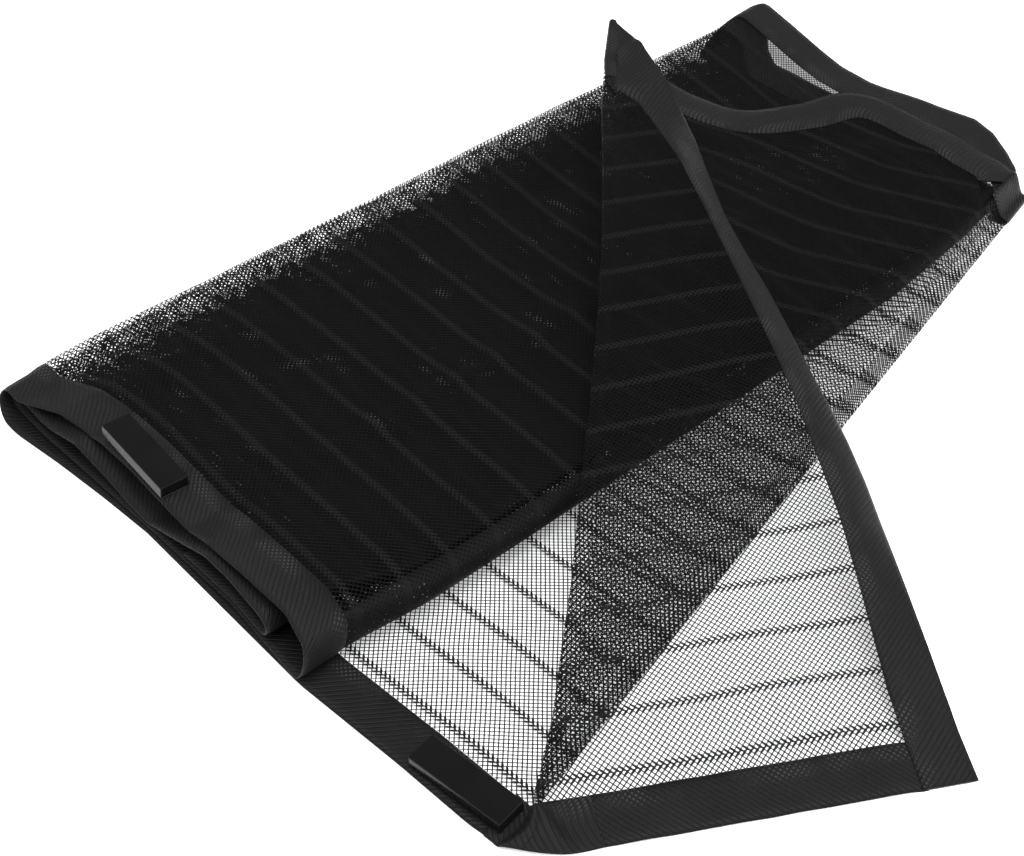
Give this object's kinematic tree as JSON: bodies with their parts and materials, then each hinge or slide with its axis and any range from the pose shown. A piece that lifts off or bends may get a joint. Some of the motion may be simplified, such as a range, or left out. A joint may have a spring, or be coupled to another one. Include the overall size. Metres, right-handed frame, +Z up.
{
  "type": "magnetic mesh screen",
  "caption": "Folded black net window screen with woven hem tape and block magnets, partly unrolled, with its free end turned back over the roll.",
  "frame": {"origin": "centre of the bounding box in plan, at the surface the folded screen lies on", "axes": "+X along the roll from the magnet hem to the plain hem, +Y away from the free end towards the far fold, +Z up"},
  "size_m": [0.5536, 0.45, 0.0676],
  "materials": {
    "net": "matte black open net",
    "hem_tape": "black ribbed woven tape",
    "magnet": "glossy black coated magnet",
    "magnet_pad": "matte black sewn patch"
  },
  "bodies": {
    "stack": {"magnet_base": "magnet", "magnet_pad_base": "magnet_pad", "magnet_pad_top": "magnet_pad", "magnet_top": "magnet", "net_base": "net", "net_far_fold": "net", "net_inner_far_fold": "net", "net_inner_high": "net", "net_inner_low": "net", "net_inner_mid": "net", "net_inner_near_fold": "net", "net_near_fold": "net", "net_top": "net", "tape_a_base": "hem_tape", "tape_a_far_fold": "hem_tape", "tape_a_inner_far_fold": "hem_tape", "tape_a_inner_high": "hem_tape", "tape_a_inner_low": "hem_tape", "tape_a_inner_mid": "hem_tape", "tape_a_inner_near_fold": "hem_tape", "tape_a_near_fold": "hem_tape", "tape_a_top": "hem_tape", "tape_b_inner": "hem_tape", "tape_d_base": "hem_tape", "tape_d_far_fold": "hem_tape", "tape_d_inner_far_fold": "hem_tape", "tape_d_inner_high": "hem_tape", "tape_d_inner_low": "hem_tape", "tape_d_inner_mid": "hem_tape", "tape_d_inner_near_fold": "hem_tape", "tape_d_near_fold": "hem_tape", "tape_d_top": "hem_tape"},
    "leaf": {"net_leaf": "net", "tape_d_leaf": "hem_tape"},
    "flap": {"net_flap": "net", "tape_a_flap": "hem_tape", "tape_c_flap": "hem_tape"}
  },
  "joints": [
    {"name": "leaf_open", "type": "hinge", "parent": "stack", "child": "leaf", "pos_m": [-0.25186, -0.12291, 0.0026], "axis": [0.973, 0.2306, 0], "range_deg": [0, 90]},
    {"name": "flap_lift", "type": "hinge", "parent": "leaf", "child": "flap", "pos_m": [-0.24286, -0.12291, 0.006], "axis": [-0.7372, -0.6653, -0.1179], "range_deg": [0, 150]}
  ],
  "couplings": [
    {"joint": "leaf_open", "follows": "flap_lift", "ratio": 0.6}
  ]
}
